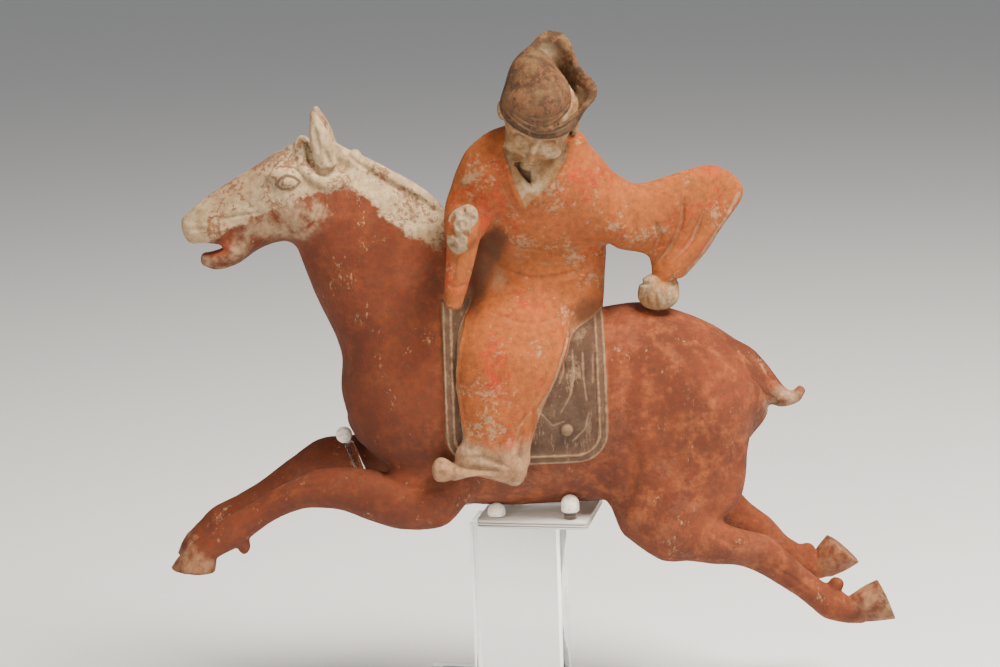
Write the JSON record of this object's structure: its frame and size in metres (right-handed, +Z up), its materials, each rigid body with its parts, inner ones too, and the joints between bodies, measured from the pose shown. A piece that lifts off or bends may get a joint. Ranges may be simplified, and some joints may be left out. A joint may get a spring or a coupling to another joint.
{
  "type": "pottery polo player figure",
  "caption": "Painted fired-clay figure of a rider on a galloping horse, resting on the pegs of a clear display stand.",
  "frame": {"origin": "middle of the underside of the stand's foot", "axes": "+Z up, the horse faces -X and its near side, which the rider's chest faces, is towards -Y"},
  "size_m": [0.3631, 0.1266, 0.3573],
  "materials": {
    "fired_clay": "matte",
    "clear_acrylic": "polished",
    "white_sleeving": "satin"
  },
  "bodies": {
    "root": {"horse_and_rider": "fired_clay", "stand_foot": "clear_acrylic", "stand_post": "clear_acrylic", "cradle_plate": "clear_acrylic", "near_front_peg": "white_sleeving", "near_rear_peg": "white_sleeving", "far_front_peg": "white_sleeving", "far_rear_peg": "white_sleeving", "chest_prong": "clear_acrylic", "chest_prong_tip": "white_sleeving"}
  },
  "joints": []
}
